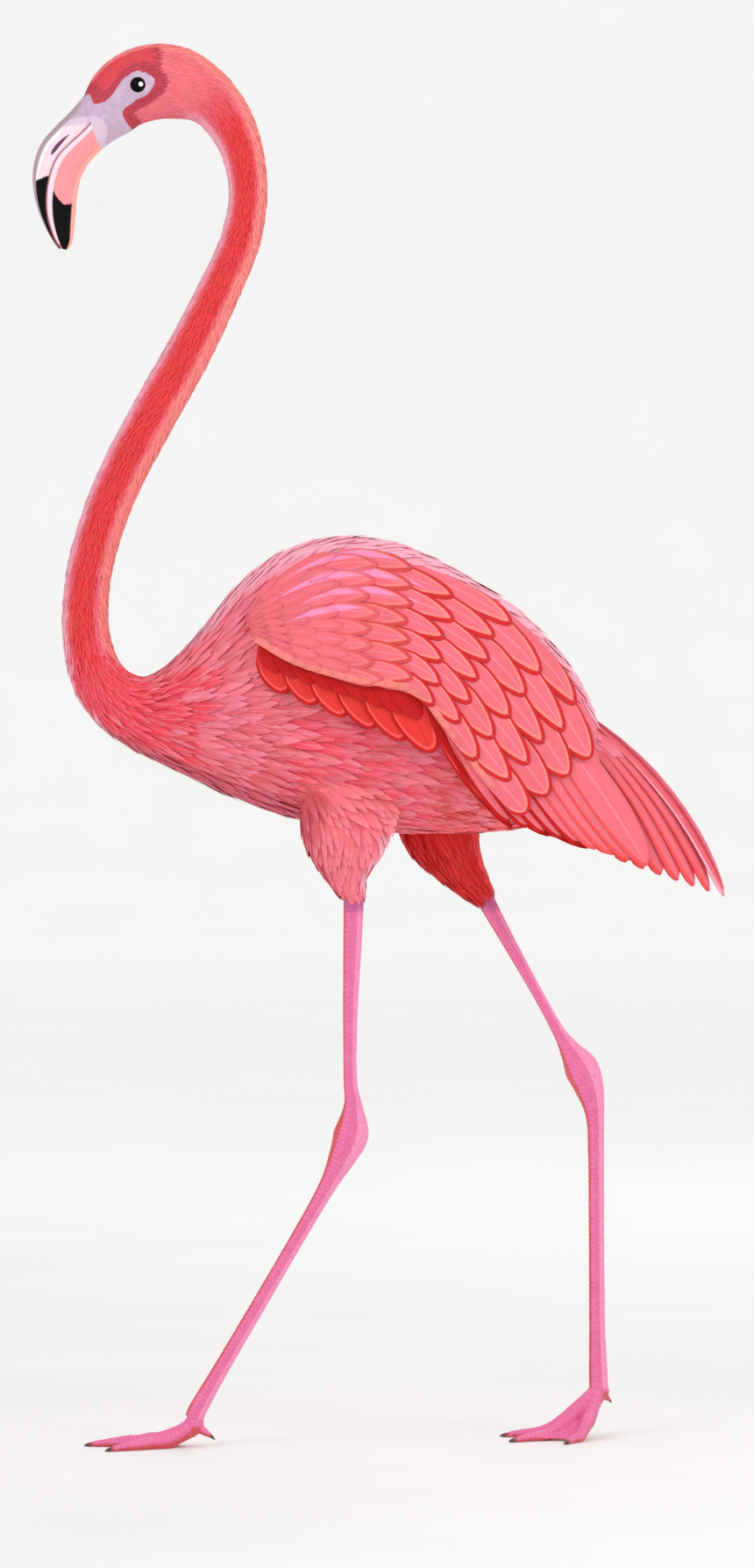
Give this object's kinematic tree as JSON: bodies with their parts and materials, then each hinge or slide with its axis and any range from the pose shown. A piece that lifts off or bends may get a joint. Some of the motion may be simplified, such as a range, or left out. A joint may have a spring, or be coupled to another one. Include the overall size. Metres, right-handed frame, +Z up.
{
  "type": "american flamingo bird figure",
  "caption": "Life-size still flamingo in mid stride: raised S neck, bent bill, folded wings, tail fan, webbed feet.",
  "frame": {"origin": "on the floor under the middle of the bird, in its mirror plane", "axes": "+Z up, the bird looks along -X, its right side is +Y"},
  "size_m": [0.6398, 0.2108, 1.293],
  "materials": {
    "plumage": "soft body feathers, coral pink",
    "neck_plumage": "short dense feathers, red with paler pink sides",
    "wing_plumage": "overlapping vanes, coral pink with red edges",
    "leg_skin": "smooth scaled skin, rose pink",
    "bill_pale": "satin horn, pale pink with a black tip",
    "bill_rose": "satin horn, rose with a black tip",
    "eye": "wet black",
    "claw": "dark horn"
  },
  "bodies": {
    "root": {"head": "plumage", "torso": "plumage", "thigh_left": "plumage", "thigh_right": "plumage", "neck_1": "neck_plumage", "neck_2": "neck_plumage", "neck_3": "neck_plumage", "neck_4": "neck_plumage", "neck_5": "neck_plumage", "wing_left": "wing_plumage", "wing_right": "wing_plumage", "tail": "wing_plumage", "shank_left": "leg_skin", "shank_right": "leg_skin", "tarsus_left": "leg_skin", "tarsus_right": "leg_skin", "foot_left": "leg_skin", "foot_right": "leg_skin", "bill_upper": "bill_pale", "bill_lower": "bill_rose", "eye_left": "eye", "eye_right": "eye", "claw_left_outer": "claw", "claw_left_middle": "claw", "claw_left_inner": "claw", "claw_left_hind": "claw", "claw_right_outer": "claw", "claw_right_middle": "claw", "claw_right_inner": "claw", "claw_right_hind": "claw"}
  },
  "joints": []
}
